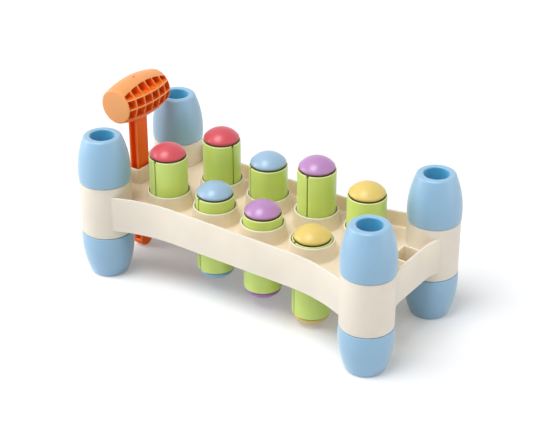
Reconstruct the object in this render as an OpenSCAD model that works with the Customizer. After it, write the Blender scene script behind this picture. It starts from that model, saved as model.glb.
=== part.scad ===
// Peg pounding bench for small children, with a toy hammer, in millimetres.
// X runs along the bench, the front row of pegs is on the -Y side, and the feet stand on z = 0.

/* [Legs] */
// Leg centre to leg centre along the bench
leg_span_x = 270; // [262:1:290]
// Leg centre to leg centre across the bench
leg_span_y = 103.2; // [102:0.1:106]
// Full height of a leg with its two cups
leg_h = 132.8; // [128:0.1:140]
// Height of the moulded column in the middle of a leg
column_h = 49.8; // [46:0.1:54]
// Radius of the column
column_r = 22.6; // [22.3:0.1:22.7]
// Largest radius of a cup
cup_r = 23.1; // [22.9:0.1:24]
// Height of a cup's largest radius above the middle of the leg
belly_z = 32.6; // [30:0.1:36]
// Radius of the curve down a cup's side
belly_arc_r = 86; // [80:1:100]
// Rounding of a cup's outer end
cup_rim_r = 2.4; // [1:0.1:3]
// Wall of a cup
cup_wall = 1.9; // [1.6:0.1:2.2]
// Radius of the blind hole in a cup's end
cup_hole_r = 10.7; // [9:0.1:11]
// Depth of the blind hole
cup_hole_depth = 28; // [16:1:30]
// Rounding of the hole's mouth
hole_mouth_r = 1.2; // [0.6:0.1:1.4]
// Closed length under a cup's rim before the hollow starts
cup_cap_t = 7; // [5:0.1:9]
// Length of the column's spigot inside a cup
spigot_h = 7; // [4:0.1:10]
// Wall of the spigot
spigot_wall = 1.8; // [1.4:0.1:2.4]
// Chamfer on both edges of the seam between column and cup
seam_edge = 0.4; // [0.2:0.1:0.6]

/* [Tray] */
// Height of the tray's walls
wall_h = 33; // [30:0.1:40]
// Thickness of the walls
wall_t = 2.2; // [1.6:0.1:3]
// Thickness of the deck in the middle of the walls
deck_t = 3.6; // [2.4:0.1:5]
// Long wall's outer face from the middle of the bench, at the waist
waist_y = 53.3; // [52:0.1:54]
// Run of the flare from the straight waist to the leg centres
waist_run = 75; // [73:1:80]
// Radius of the flare from the waist to the legs
waist_flare_r = 138; // [130:1:145]
// End wall's outer face past the leg centres
end_proud = 12.2; // [11.6:0.1:13]
// Half length of the straight part of the end wall
end_half = 20; // [18:1:21]
// Radius of the end wall's flare to the legs
end_flare_r = 34; // [33:1:38]
// Reach of the tray's corners past the leg centres, inside the columns
corner_reach = 17.5; // [17:0.1:18]

/* [Collars] */
// Pegs in each row
pegs_per_row = 4; // [4:4]
// Distance along the bench from a leg's centre to the nearest peg's
leg_to_peg = 47.6; // [46:0.1:49]
// Peg row from the middle of the bench
peg_row_y = 22; // [21.6:0.1:24]
// Shift of the front row to the left and of the back row to the right
row_shift = 12.4; // [11:0.1:14]
// Collar's rim above and below the middle of the deck
collar_reach = 16.1; // [14:0.1:16.4]
// Outer radius of a collar at its rim
collar_rim_r = 19; // [18.8:0.1:20]
// Outer radius of a collar at the deck
collar_base_r = 20.7; // [20:0.1:21]
// Bore radius at the rim
bore_rim_r = 17.7; // [17.4:0.05:17.9]
// Bore radius in the middle of the deck, where it guides the peg
bore_mid_r = 17.15; // [17.1:0.05:17.3]

/* [Hammer sockets] */
// Socket's outer width, measured in from the end wall's face
socket_w = 17.2; // [16:0.1:20]
// Socket's outer length across the bench
socket_l = 24; // [22:0.1:28]
// Wall of the socket
socket_wall = 1.7; // [1.4:0.1:2]
// Rounding of the socket's corners
socket_corner_r = 2.4; // [1.8:0.1:3]

/* [Pegs] */
// Height of each front peg's middle above the deck's, left to right
front_peg_z = [13.4, -9, -11.2, -18.9];
// Height of each back peg's middle above the deck's, left to right
back_peg_z = [17.7, 8.3, 18.9, 9.7];
// Direction of the slit in each front peg's sleeve, in degrees from +X
front_slit_angle = [-95, -110, 125, -118];
// Direction of the slit in each back peg's sleeve, in degrees from +X
back_slit_angle = [-17, -122, -85, 125];
// Length of a sleeve
sleeve_len = 70; // [66:0.1:74]
// Outer radius of a sleeve
sleeve_r = 16.75; // [16.7:0.05:16.8]
// Wall of a sleeve
sleeve_wall = 1.9; // [1.5:0.1:2.1]
// Chamfer on a sleeve's ends
sleeve_edge = 0.4; // [0.2:0.1:0.6]
// Width of the slit along a sleeve
slit_w = 1; // [0.6:0.1:1.6]
// Width of the notch at each end of the slit
notch_w = 2.6; // [2:0.1:4]
// Depth of the notch
notch_depth = 2.2; // [1:0.1:3]
// Radius of the domed caps
dome_r = 15.6; // [15.3:0.1:15.8]
// Height of a dome
dome_h = 10.3; // [9.6:0.1:11.4]
// Rounding of a dome's edge
dome_edge_r = 1.8; // [1.4:0.1:2.2]
// Height of a dome's lowest edge above the sleeve's rim
dome_lift = 0.7; // [0.3:0.1:1]
// Radius of the seat that a cap's flange fills in the sleeve's end
seat_r = 15.8; // [15.6:0.1:15.9]
// Depth of the seat
cap_seat = 2.4; // [2:0.1:3]
// Thickness of the flange on a cap
cap_flange_t = 1.6; // [1.2:0.1:1.8]
// Outer radius of the spindle inside a sleeve
spindle_r = 12.6; // [12:0.1:13]
// Wall of the spindle and of the domes
spindle_wall = 1.8; // [1.4:0.1:2.2]
// Length of the loose cap's plug inside the spindle
plug_len = 9; // [6:1:14]

/* [Hammer] */
// Largest radius of the hammer's head
head_r = 19.3; // [18:0.1:20]
// Radius of the head's flat ends
head_end_r = 15.3; // [14:0.1:16]
// Length of the head
head_len = 57.2; // [54:0.1:60]
// Middle of the head above the tip of the handle
head_z = 149; // [140:1:160]
// Rounding of the head's ends
head_edge_r = 1.4; // [0.8:0.1:2]
// Skin over the top of the pockets, in the middle of the head
head_skin = 2.6; // [2:0.1:3]
// Radius of the curve that the top row of pockets follows along the head
pocket_arc_r = 79; // [70:1:100]
// Reach of the lowest row of pockets below the head's middle
pocket_drop = 8.8; // [8:0.1:9.6]
// Wall behind each end face
head_end_wall = 1; // [0.8:0.1:1.6]
// Half thickness of the web in the middle of the head
head_web_half = 1.2; // [0.8:0.1:1.6]
// Thickness of the ribs between the pockets
rib_t = 1.2; // [1:0.1:1.6]
// Distance between the ribs along the head
rib_pitch = 9.7; // [9.2:0.1:10]
// Distance between the ribs up the head
rib_rise = 8.2; // [7.6:0.1:8.8]
// Wall of the boss that holds the handle
boss_wall = 1.6; // [1.2:0.1:2]
// Handle's width along the bench
handle_w = 9.4; // [8:0.1:10]
// Handle's depth across the bench
handle_d = 14.8; // [13:0.1:15.6]
// Thickness of the handle's two flanges
flange_t = 1.7; // [1.3:0.1:2.2]
// Thickness of the web between them
handle_web = 2.4; // [1.6:0.1:3]
// Radius of the handle's round tip
tip_r = 9; // [8:0.1:12]
// Closed length at each end of the handle's channels
channel_end = 7; // [6.5:0.1:10]

/* [Fits] */
// Gap round a piece that is pushed into another
fit_gap = 0.3; // [0.25:0.05:0.35]

/* [Hidden] */
$fn = 96;
// How far a cut runs past the face that it leaves
over = 1;
mid_z = leg_h / 2;
cup_top = leg_h / 2;
seam_z = column_h / 2;
waist_half = leg_span_x / 2 - waist_run;
end_x = leg_span_x / 2 + end_proud;
peg_pitch = 2 * (leg_span_x / 2 - leg_to_peg - row_shift) / (pegs_per_row - 1);
belly_c = [cup_r - belly_arc_r, belly_z];
mouth_r = arc_x(belly_c, belly_arc_r - cup_wall, seam_z);
seam_r = arc_x(belly_c, belly_arc_r, seam_z);
spigot_r = mouth_r - fit_gap;
column_bore_r = spigot_r - spigot_wall;
socket_x = end_x - socket_w / 2;
sleeve_half = sleeve_len / 2;
sleeve_bore_r = sleeve_r - sleeve_wall;
seat_z = sleeve_half - cap_seat;
dome_z = sleeve_half + dome_lift;
dome_neck_r = dome_r - dome_edge_r;
dome_rise = dome_h - dome_edge_r;
ball_r = (pow(dome_neck_r, 2) + pow(dome_rise, 2) - pow(dome_edge_r, 2)) / (2 * (dome_rise - dome_edge_r));
ball_z = dome_z + dome_h - ball_r;
ball_edge_x = dome_neck_r * ball_r / (ball_r - dome_edge_r);
spindle_bore_r = spindle_r - spindle_wall;
head_sag = head_r - head_end_r;
head_arc_r = (pow(head_len / 2, 2) + pow(head_sag, 2)) / (2 * head_sag);
tenon_top = head_z + rib_rise - rib_t / 2;
levels = ["upper", "lower"];
rows = ["front", "back"];
sides = ["left", "right"];
colours = ["red", "blue", "purple", "yellow"];
pieces = ["core", "cap", "sleeve"];
cream = [0.93, 0.89, 0.80];
sky = [0.47, 0.71, 0.88];
lime = [0.62, 0.79, 0.29];
orange = [0.95, 0.42, 0.13];
dome_colours = [[0.86, 0.27, 0.33], [0.49, 0.71, 0.87], [0.63, 0.41, 0.76], [0.95, 0.75, 0.28]];

function cup_name(level, row, side) = str(level, "_leg_cup_", row, "_", side);
function peg_name(row, colour, piece) = str(row, "_", colour, "_peg_", piece);
// Radius of a curved side at a height
function arc_x(c, r, z) = c.x + sqrt(pow(r, 2) - pow(z - c.y, 2));
function row_sign(row) = row == "front" ? -1 : 1;
function side_sign(side) = side == "left" ? -1 : 1;
function peg_x(row, i) = (i - (pegs_per_row - 1) / 2) * peg_pitch + row_sign(row) * row_shift;
function peg_z(row, i) = row == "front" ? front_peg_z[i] : back_peg_z[i];
function slit_angle(row, i) = row == "front" ? front_slit_angle[i] : back_slit_angle[i];

// Half section from the axis out to an arc, with its top edge rounded by f
module arc_side(c, r, z0, z1, f) {
    edge_x = arc_x(c, r - f, z1 - f);
    tangent_z = c.y + (z1 - f - c.y) * r / (r - f);
    intersection() {
        translate(c) circle(r = r);
        translate([0, z0]) square([c.x + r, tangent_z - z0]);
    }
    translate([0, z0]) square([edge_x, z1 - z0]);
    translate([edge_x, z1 - f]) circle(r = f);
}

module rounded_rect(w, l, r) {
    square([w - 2 * r, l], center = true);
    square([w, l - 2 * r], center = true);
    for (sx = [-1, 1]) {
        for (sy = [-1, 1]) {
            translate([sx * (w / 2 - r), sy * (l / 2 - r)]) circle(r = r);
        }
    }
}

module at_legs() {
    for (sx = [-1, 1]) {
        for (sy = [-1, 1]) {
            translate([sx * leg_span_x / 2, sy * leg_span_y / 2, 0]) children();
        }
    }
}

module at_pegs() {
    for (row = rows) {
        for (i = [0 : pegs_per_row - 1]) {
            translate([peg_x(row, i), row_sign(row) * peg_row_y, 0]) children();
        }
    }
}

// Plan of the tray, with its curved faces drawn in by inset
module tray_plan(inset) {
    waist_c = waist_y + waist_flare_r;
    end_c = end_x + end_flare_r;
    waist_cut_r = waist_flare_r + inset;
    end_cut_r = end_flare_r + inset;
    difference() {
        union() {
            square([leg_span_x, leg_span_y + 2 * corner_reach], center = true);
            square([leg_span_x + 2 * corner_reach, leg_span_y], center = true);
        }
        for (s = [-1, 1]) {
            for (t = [-1, 1]) {
                translate([t * waist_half, s * waist_c]) circle(r = waist_cut_r);
                translate([s * end_c, t * end_half]) circle(r = end_cut_r);
            }
            translate([0, s * waist_c]) square([2 * waist_half, 2 * waist_cut_r], center = true);
            translate([s * end_c, 0]) square([2 * end_cut_r, 2 * end_half], center = true);
        }
    }
}

module tray() {
    linear_extrude(height = deck_t, center = true) tray_plan(0);
    linear_extrude(height = wall_h, center = true) {
        difference() {
            tray_plan(0);
            tray_plan(wall_t);
        }
    }
}

module column() {
    cylinder(h = column_h - 2 * seam_edge, r = column_r, center = true);
    for (s = [0, 1]) {
        mirror([0, 0, s]) {
            translate([0, 0, seam_z - seam_edge]) cylinder(h = seam_edge, r1 = column_r, r2 = column_r - seam_edge);
            translate([0, 0, seam_z]) cylinder(h = spigot_h, r = spigot_r);
        }
    }
}

module column_bores() {
    for (s = [0, 1]) {
        mirror([0, 0, s]) {
            translate([0, 0, deck_t / 2]) cylinder(h = seam_z + spigot_h, r = column_bore_r);
        }
    }
}

module collar() {
    for (s = [0, 1]) {
        mirror([0, 0, s]) cylinder(h = collar_reach, r1 = collar_base_r, r2 = collar_rim_r);
    }
}

module collar_bore() {
    for (s = [0, 1]) {
        mirror([0, 0, s]) cylinder(h = collar_reach, r1 = bore_mid_r, r2 = bore_rim_r);
    }
}

module socket() {
    linear_extrude(height = wall_h, center = true) {
        intersection() {
            translate([socket_corner_r, 0]) {
                rounded_rect(socket_w + 2 * socket_corner_r, socket_l, socket_corner_r);
            }
            square([socket_w, socket_l], center = true);
        }
    }
}

module socket_hole() {
    linear_extrude(height = wall_h + over, center = true) {
        translate([(socket_wall - wall_t) / 2, 0]) {
            rounded_rect(socket_w - socket_wall - wall_t, socket_l - 2 * socket_wall, socket_corner_r - socket_wall);
        }
    }
}

module bench_frame() {
    color(cream) translate([0, 0, mid_z]) difference() {
        union() {
            tray();
            at_legs() column();
            at_pegs() collar();
            for (s = [0, 1]) {
                mirror([s, 0, 0]) translate([socket_x, 0, 0]) socket();
            }
        }
        at_legs() column_bores();
        at_pegs() collar_bore();
        for (s = [0, 1]) {
            mirror([s, 0, 0]) translate([socket_x, 0, 0]) socket_hole();
        }
    }
}

module cup_hollow() {
    difference() {
        intersection() {
            translate(belly_c) circle(r = belly_arc_r - cup_wall);
            translate([0, seam_z - over]) square([cup_r, cup_top - cup_cap_t - seam_z + over]);
        }
        translate([0, cup_top - cup_hole_depth - cup_wall]) square([cup_hole_r + cup_wall, cup_hole_depth]);
    }
}

module cup_section() {
    difference() {
        arc_side(belly_c, belly_arc_r, seam_z, cup_top, cup_rim_r);
        cup_hollow();
        translate([0, cup_top - cup_hole_depth]) square([cup_hole_r, cup_hole_depth + over]);
        difference() {
            translate([cup_hole_r - over, cup_top - hole_mouth_r]) square([hole_mouth_r + over, hole_mouth_r + over]);
            translate([cup_hole_r + hole_mouth_r, cup_top - hole_mouth_r]) circle(r = hole_mouth_r);
        }
        polygon([
            [seam_r - seam_edge, seam_z],
            [seam_r + over, seam_z],
            [seam_r + over, seam_z + seam_edge + over]
        ]);
    }
}

module leg_cup(level, row, side) {
    color(sky) {
        translate([side_sign(side) * leg_span_x / 2, row_sign(row) * leg_span_y / 2, mid_z]) {
            mirror([0, 0, level == "lower" ? 1 : 0]) rotate_extrude() cup_section();
        }
    }
}

// Half section of a dome with its rounded edge, its neck and its flange, and with the hollow inside it
module dome_section(bore_r) {
    difference() {
        union() {
            intersection() {
                translate([0, ball_z]) circle(r = ball_r);
                translate([0, dome_z + dome_edge_r]) square([ball_edge_x, dome_h]);
            }
            translate([dome_neck_r, dome_z + dome_edge_r]) circle(r = dome_edge_r);
            translate([0, seat_z]) square([dome_neck_r, dome_z + dome_edge_r - seat_z]);
            translate([0, seat_z]) square([seat_r - fit_gap, cap_flange_t]);
        }
        intersection() {
            union() {
                translate([0, ball_z]) circle(r = ball_r - spindle_wall);
                translate([0, seat_z - over]) square([bore_r, dome_z - seat_z + over]);
            }
            translate([0, seat_z - over]) square([bore_r, dome_h + dome_z]);
        }
    }
}

module peg_core() {
    rotate_extrude() {
        dome_section(spindle_bore_r);
        translate([spindle_bore_r, -seat_z]) square([spindle_wall, 2 * seat_z]);
    }
}

module peg_cap() {
    plug_r = spindle_bore_r - fit_gap;
    mirror([0, 0, 1]) rotate_extrude() {
        dome_section(plug_r - spindle_wall);
        translate([plug_r - spindle_wall, seat_z - plug_len]) square([spindle_wall, plug_len]);
    }
}

module slit() {
    translate([0, -slit_w / 2, -sleeve_len]) cube([sleeve_r + over, slit_w, 2 * sleeve_len]);
    for (s = [0, 1]) {
        mirror([0, 0, s]) {
            translate([0, -notch_w / 2, sleeve_half - notch_depth]) cube([sleeve_r + over, notch_w, sleeve_half]);
        }
    }
}

module peg_sleeve(angle) {
    difference() {
        union() {
            cylinder(h = sleeve_len - 2 * sleeve_edge, r = sleeve_r, center = true);
            for (s = [0, 1]) {
                mirror([0, 0, s]) translate([0, 0, sleeve_half - sleeve_edge]) {
                    cylinder(h = sleeve_edge, r1 = sleeve_r, r2 = sleeve_r - sleeve_edge);
                }
            }
        }
        cylinder(h = sleeve_len + over, r = sleeve_bore_r, center = true);
        for (s = [0, 1]) {
            mirror([0, 0, s]) translate([0, 0, seat_z]) cylinder(h = cap_seat + over, r = seat_r);
        }
        rotate([0, 0, angle]) slit();
    }
}

module peg_piece(row, i, piece) {
    translate([peg_x(row, i), row_sign(row) * peg_row_y, mid_z + peg_z(row, i)]) {
        if (piece == "core") color(dome_colours[i]) peg_core();
        if (piece == "cap") color(dome_colours[i]) peg_cap();
        if (piece == "sleeve") color(lime) peg_sleeve(slit_angle(row, i));
    }
}

// Side view of the pockets: down the head is x here, along the head is y
module pocket_grid() {
    top = head_r - head_skin;
    pocket_len = head_len - 2 * head_end_wall;
    difference() {
        intersection() {
            translate([pocket_arc_r - top, 0]) circle(r = pocket_arc_r);
            translate([-top, -pocket_len / 2]) square([top + pocket_drop, pocket_len]);
        }
        for (i = [-2 : 2]) {
            translate([0, i * rib_pitch]) square([2 * head_r, rib_t], center = true);
        }
        for (j = [0 : 1]) {
            translate([-j * rib_rise, 0]) square([rib_t, head_len], center = true);
        }
    }
}

module handle_boss() {
    half_w = handle_w / 2 + fit_gap + boss_wall;
    boss_l = 2 * rib_pitch + rib_t;
    translate([-half_w, -boss_l / 2, -head_r]) cube([2 * half_w, boss_l, head_r + rib_rise + rib_t / 2]);
}

module head_pockets() {
    for (s = [0, 1]) {
        mirror([s, 0, 0]) difference() {
            translate([head_web_half, 0, 0]) rotate([0, 90, 0]) linear_extrude(height = head_r) pocket_grid();
            handle_boss();
        }
    }
}

module handle_socket() {
    w = handle_w + 2 * fit_gap;
    d = handle_d + 2 * fit_gap;
    translate([-w / 2, -d / 2, -head_r - over]) cube([w, d, head_r + over + tenon_top - head_z]);
}

module hammer_head() {
    color(orange) translate([-socket_x, 0, head_z]) difference() {
        for (s = [0, 1]) {
            mirror([0, s, 0]) rotate([-90, 0, 0]) rotate_extrude() {
                arc_side([head_r - head_arc_r, 0], head_arc_r, 0, head_len / 2, head_edge_r);
            }
        }
        head_pockets();
        handle_socket();
    }
}

module hammer_handle() {
    channel_depth = (handle_d - handle_web) / 2;
    channel_w = handle_w - 2 * flange_t;
    channel_len = tenon_top - 2 * channel_end;
    color(orange) translate([-socket_x, 0, 0]) difference() {
        intersection() {
            translate([-handle_w / 2, -handle_d / 2, 0]) cube([handle_w, handle_d, tenon_top]);
            union() {
                translate([0, 0, tip_r]) rotate([0, 90, 0]) cylinder(h = handle_w + over, r = tip_r, center = true);
                translate([-handle_w, -handle_d, tip_r]) cube([2 * handle_w, 2 * handle_d, tenon_top]);
            }
        }
        for (s = [0, 1]) {
            mirror([0, s, 0]) {
                translate([-channel_w / 2, handle_web / 2, channel_end]) cube([channel_w, channel_depth + over, channel_len]);
            }
        }
    }
}

bench_frame();
for (level = levels) {
    for (row = rows) {
        for (side = sides) {
            leg_cup(level, row, side);
        }
    }
}
for (row = rows) {
    for (i = [0 : pegs_per_row - 1]) {
        for (piece = pieces) {
            peg_piece(row, i, piece);
        }
    }
}
hammer_head();
hammer_handle();
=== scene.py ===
"""A peg pounding bench for small children with its toy hammer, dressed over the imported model.

Lengths are in metres in the model's own frame: +X along the bench, the front row of pegs on the -Y side,
+Z up, and the table top at z = 0.
"""

import math

import bmesh
import bpy
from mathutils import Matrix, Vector


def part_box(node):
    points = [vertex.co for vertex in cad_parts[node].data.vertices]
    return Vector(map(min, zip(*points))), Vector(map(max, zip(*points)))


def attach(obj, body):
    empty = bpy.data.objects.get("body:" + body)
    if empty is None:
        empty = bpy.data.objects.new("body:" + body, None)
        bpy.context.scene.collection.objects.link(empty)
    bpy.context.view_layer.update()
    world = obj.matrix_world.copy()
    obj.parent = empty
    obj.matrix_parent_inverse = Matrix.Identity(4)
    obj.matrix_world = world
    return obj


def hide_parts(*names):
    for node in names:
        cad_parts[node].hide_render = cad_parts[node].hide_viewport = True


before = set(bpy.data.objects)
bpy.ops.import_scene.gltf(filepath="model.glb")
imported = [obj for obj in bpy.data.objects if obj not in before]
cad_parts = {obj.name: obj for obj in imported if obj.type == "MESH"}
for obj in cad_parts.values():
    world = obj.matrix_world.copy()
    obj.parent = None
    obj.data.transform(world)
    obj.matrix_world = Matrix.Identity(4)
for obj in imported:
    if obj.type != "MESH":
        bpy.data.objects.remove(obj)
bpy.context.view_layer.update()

MM = 0.001
UP, DOWN = 1, -1

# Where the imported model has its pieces
ROWS = ("front", "back")
SIDES = ("left", "right")
COLOURS = ("red", "blue", "purple", "yellow")


def middle(node):
    """Middle of a node's box."""
    low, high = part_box(node)
    return (low + high) / 2


def cup_node(level, row, side):
    return f"{level}_leg_cup_{row}_{side}"


def peg_body(row, colour):
    return f"{row}_{colour}_peg"


MID_Z = middle("bench_frame").z
LEGS = {(row, side): middle(cup_node("upper", row, side)) for row in ROWS for side in SIDES}
PEGS = {(row, colour): middle(peg_body(row, colour) + "_sleeve") for row in ROWS for colour in COLOURS}
LEG_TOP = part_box(cup_node("upper", "front", "left"))[1].z - MID_Z
SEAM_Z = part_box(cup_node("upper", "front", "left"))[0].z - MID_Z
HAMMER = middle("hammer_handle")

# Tray
DECK_T = 3.6 * MM
WALL_T = 2.2 * MM
WALL_H = 33 * MM
WAIST_Y = 53.3 * MM
WAIST_HALF = 60 * MM
WAIST_FLARE_R = 138 * MM
END_X = 147.2 * MM
END_HALF = 20 * MM
END_FLARE_R = 34 * MM
CORNER_REACH = 17.5 * MM
RIM_R = 0.9 * MM
DECK_FILLET = 2 * MM

# Collars
COLLAR_REACH = 16.1 * MM
COLLAR_RIM_R = 19 * MM
COLLAR_BASE_R = 20.5 * MM
COLLAR_FILLET = 1.6 * MM
COLLAR_TAPER = 186
COLLAR_RIM_STEPS = 8
BORE_RIM_R = 17.7 * MM
BORE_MID_R = 17.15 * MM

# Hammer sockets
SOCKET_W = 17.2 * MM
SOCKET_L = 24 * MM
SOCKET_WALL = 1.7 * MM
SOCKET_CORNER_R = 2.4 * MM
SOCKET_RIM_R = 0.7 * MM
SOCKET_SINK = 0.05 * MM
SOCKET_MOUTH_ARC = 60
SOCKET_HOLE_CORNER_R = 0.8 * MM

# Material slots of the frame, and the second one of the sleeves and domes; all but the frame's outside slot
# carry painted light or shade
FRAME_MATERIALS = ("cream", "cream_rim_painted_shade", "cream_inside_painted_shade", "collar_rim_painted_highlight")
# Rim slot: painted shade dimming the wall rims, and a painted highlight on the sleeve rims; collar rim slot:
# painted highlight; inside slot: painted warm shade in the tray
OUTSIDE_SLOT, RIM_SLOT, INSIDE_SHADE_SLOT, COLLAR_RIM_HIGHLIGHT_SLOT = range(4)
# The domes' second slot: a dark painted shade on the neck, flange and tube, standing for the shadow in the
# gap under each dome
NECK_SHADE_SLOT = 1

# Columns and cups
COLUMN_R = 22.6 * MM
COLUMN_BORE_R = 18.7 * MM
SPIGOT_R = 20.5 * MM
SPIGOT_H = 7 * MM
SEAM_R = 0.5 * MM
SEAM_GROOVE_H = 0.5 * MM
SEAM_GROOVE_DEPTH = 1.9 * MM
CUP_R = 23.1 * MM
BELLY_Z = 32.6 * MM
BELLY_ARC_R = 86 * MM
CUP_RIM_R = 2.4 * MM
CUP_WALL = 1.9 * MM
CUP_HOLE_R = 10.7 * MM
CUP_HOLE_DEPTH = 28 * MM
HOLE_MOUTH_R = 1.2 * MM
CUP_CAP_T = 7 * MM

# Pegs
SLEEVE_R = 16.75 * MM
SLEEVE_WALL = 1.9 * MM
SLEEVE_LEN = 70 * MM
SLEEVE_EDGE_R = 0.45 * MM
SEAT_DEPTH = 2.4 * MM
SEAT_R = 15.8 * MM
SLIT_W = 1 * MM
NOTCH_W = 2.6 * MM
NOTCH_DEPTH = 1.6 * MM
SLIT_ANGLES = {
    "front": {"red": -95, "blue": -110, "purple": 125, "yellow": -118},
    "back": {"red": -17, "blue": -122, "purple": -85, "yellow": 125},
}
NOTCH_EASE = 0.1 * MM
SLIT_LIP_R = 0.25 * MM
LIP_SHARES = (0, 0.1, 0.4, 1)
DOME_R = 15.6 * MM
DOME_H = 10.3 * MM
DOME_EDGE_R = 1.8 * MM
DOME_LIFT = 0.7 * MM
FLANGE_R = 15.5 * MM
CAP_FLANGE_T = 1 * MM
CAP_NECK_R = 12.9 * MM
DOME_WALL = 1.8 * MM
DOME_BALL_STEPS = 20
DOME_EDGE_STEPS = 12
DOME_FACE_BANDS = DOME_BALL_STEPS + DOME_EDGE_STEPS - 1
SPINDLE_R = 12.6 * MM
SPINDLE_BORE_R = 10.8 * MM
PLUG_R = 10.5 * MM
PLUG_BORE_R = 8.7 * MM
PLUG_LEN = 9 * MM

# Hammer
HEAD_R = 19.3 * MM
HEAD_END_R = 15.3 * MM
HEAD_LEN = 57.2 * MM
HEAD_EDGE_R = 1.4 * MM
POCKET_TOP = 16.7 * MM
POCKET_ARC_R = 79 * MM
POCKET_DROP = 8.8 * MM
HEAD_END_WALL = 1 * MM
HEAD_WEB_HALF = 1.2 * MM
RIB_T = 1.2 * MM
RIB_PITCH = 9.7 * MM
RIB_RISE = 8.2 * MM
BOSS_WALL = 1.6 * MM
HANDLE_W = 9.4 * MM
HANDLE_D = 14.8 * MM
HANDLE_WEB = 2.4 * MM
FLANGE_T = 1.7 * MM
TIP_R = 9 * MM
TIP_SPREAD = math.degrees(math.asin(HANDLE_D / 2 / TIP_R))
CHANNEL_END = 7 * MM
CHANNEL_CORNER_R = 0.5 * MM
HANDLE_EDGE_R = 0.55 * MM
HANDLE_EDGE_STEPS = 3
HANDLE_EDGE_ANGLE = math.radians(40)
TENON_CORNER_R = 0.4 * MM
FIT_GAP = 0.3 * MM
GATE_MARK_R = 1.3 * MM
GATE_MARK_DEPTH = 1 * MM
GATE_MARK_Y = -2.6 * MM
HEAD_VOXEL = 0.3 * MM
HEAD_SMOOTH = 0.5
HEAD_SMOOTH_TURNS = 2
# Where the barrel's painted light and painted shade begin and fade in
PAINTED_LIGHT_FADE = 0.5 * MM
PAINTED_SHADE_DROP = 6 * MM
PAINTED_SHADE_FADE = 3 * MM

# Fineness of the turned shapes
TURN_STEPS = 96
ARC_STEPS = 6
WAIST_STEPS = 28
END_STEPS = 12
SEAM_STEPS = 4
CUP_RIM_STEPS = 8
BELLY_STEPS = 24
HOLLOW_STEPS = 8
SLEEVE_EDGE_STEPS = 4
HEAD_EDGE_STEPS = 8
BARREL_STEPS = 16
POCKET_STEPS = 5
TRIM_STEPS = 24
SMALL_CORNER_STEPS = 2
MARK_STEPS = 24
TIP_STEPS = 16
AXIS_R = 1e-7
SHARP_ANGLE = math.radians(38)
WELD_GAP = 0.002 * MM


# Camera, lamps and floor
IMAGE_W = 550
SENSOR_W = 36
FOCAL_PIXELS = 1523.6
CAMERA_AT = Vector((0.6590, -0.9283, 0.7126))
CAMERA_AZIMUTH = math.radians(34.97)
CAMERA_ELEVATION = math.radians(29.60)
CAMERA_CLIP = (0.05, 20)
KEY_FROM = (-0.22, -0.66, 1.84)
KEY_STRENGTH = 2.05
KEY_ANGLE = math.radians(32)
KEY_COLOUR = (0.98, 0.995, 1.02)
LEFT_PANEL = {"at": (-1.5, -0.75, 0.7), "size": 1.0, "watts": 13, "colour": (1, 1, 1)}
RIGHT_PANEL = {"at": (1.45, 0.45, 0.3), "size": 1.4, "watts": 5.5, "colour": (1, 0.96, 0.90)}
WORLD_STRENGTH = 0.45
WORLD_COLOUR = (1, 0.985, 0.965, 1)
WHITE = (1, 1, 1, 1)
FLOOR_SIZE = 12
FLOOR_COLOUR = (0.785, 0.79, 0.80, 1)
FLOOR_LIFT = 0.155


def make_camera():
    """The camera at the photograph's angle, with the picture's own frame."""
    data = bpy.data.cameras.new("camera")
    data.sensor_width = SENSOR_W
    data.lens = FOCAL_PIXELS * SENSOR_W / IMAGE_W
    data.clip_start, data.clip_end = CAMERA_CLIP
    camera = bpy.data.objects.new("camera", data)
    bpy.context.scene.collection.objects.link(camera)
    camera.location = CAMERA_AT
    camera.rotation_euler = (math.pi / 2 - CAMERA_ELEVATION, 0, CAMERA_AZIMUTH)
    bpy.context.scene.camera = camera
    bpy.context.scene.view_settings.view_transform = "Standard"


def place_lamp(data, at):
    """Hangs a lamp at a place, or a sun in a direction, so that it shines at the middle of the bench."""
    lamp = bpy.data.objects.new(data.name, data)
    bpy.context.scene.collection.objects.link(lamp)
    lamp.location = at
    lamp.rotation_euler = (Vector((0, 0, MID_Z)) - Vector(at)).to_track_quat("-Z", "Y").to_euler()


def make_key():
    """The high soft light from the front left that draws the shadow."""
    data = bpy.data.lights.new("key", "SUN")
    data.energy = KEY_STRENGTH
    data.angle = KEY_ANGLE
    data.color = KEY_COLOUR
    place_lamp(data, KEY_FROM)


def make_panel(name, at, size, watts, colour):
    """A large soft panel beside the bench."""
    data = bpy.data.lights.new(name, "AREA")
    data.shape = "DISK"
    data.size = size
    data.energy = watts
    data.color = colour
    place_lamp(data, at)


def make_world():
    """Soft light from all round, seen as plain white."""
    world = bpy.data.worlds.new("studio")
    world.use_nodes = True
    tree = world.node_tree
    background = tree.nodes["Background"]
    background.inputs["Color"].default_value = WORLD_COLOUR
    background.inputs["Strength"].default_value = WORLD_STRENGTH
    seen = tree.nodes.new("ShaderNodeBackground")
    seen.inputs["Color"].default_value = WHITE
    seen.inputs["Strength"].default_value = 1
    mix = tree.nodes.new("ShaderNodeMixShader")
    tree.links.new(seen_by_eye(tree), mix.inputs["Fac"])
    tree.links.new(background.outputs[0], mix.inputs[1])
    tree.links.new(seen.outputs[0], mix.inputs[2])
    tree.links.new(mix.outputs[0], tree.nodes["World Output"].inputs["Surface"])
    bpy.context.scene.world = world


def seen_by_eye(tree):
    """Socket that is 1 for rays that the camera sees, straight, mirrored or through glass."""
    path = tree.nodes.new("ShaderNodeLightPath")
    total = path.outputs["Is Camera Ray"]
    for name in ("Is Glossy Ray", "Is Transmission Ray"):
        add = tree.nodes.new("ShaderNodeMath")
        add.operation = "MAXIMUM"
        tree.links.new(total, add.inputs[0])
        tree.links.new(path.outputs[name], add.inputs[1])
        total = add.outputs[0]
    return total


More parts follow.
